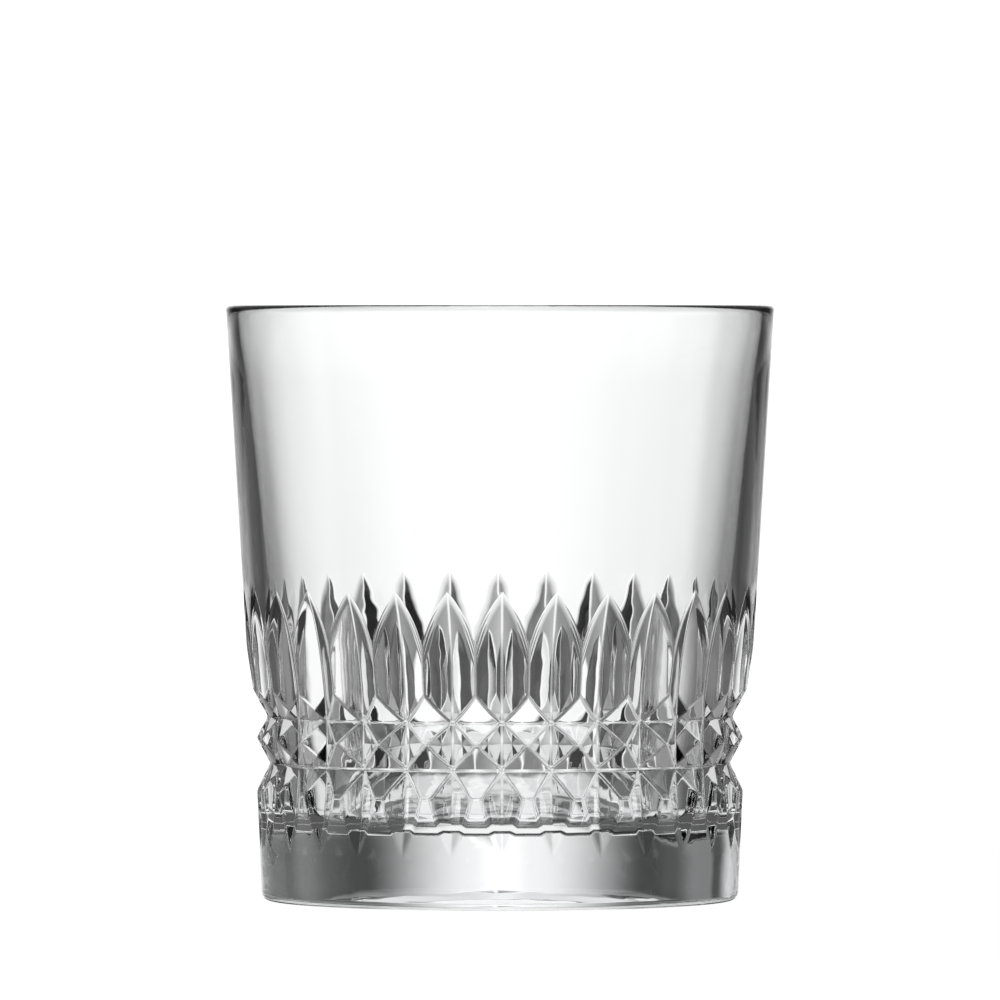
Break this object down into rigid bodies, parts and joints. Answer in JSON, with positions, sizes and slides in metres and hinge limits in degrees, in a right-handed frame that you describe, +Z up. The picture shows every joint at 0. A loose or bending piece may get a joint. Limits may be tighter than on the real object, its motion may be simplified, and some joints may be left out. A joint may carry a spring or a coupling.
{
  "type": "whiskey tumbler",
  "caption": "Clear glass whiskey tumbler: a gently flared cup on a thick base, with a band of mitre cuts and small pyramids round its lower half.",
  "frame": {"origin": "centre of the plane that the tumbler rests on", "axes": "+Z up along the cup's axis; one mitre cut faces -Y"},
  "size_m": [0.0858, 0.0858, 0.093],
  "materials": {
    "clear_glass": "colourless fire-polished crystal glass, polished cuts"
  },
  "bodies": {
    "root": {"tumbler": "clear_glass"}
  },
  "joints": []
}
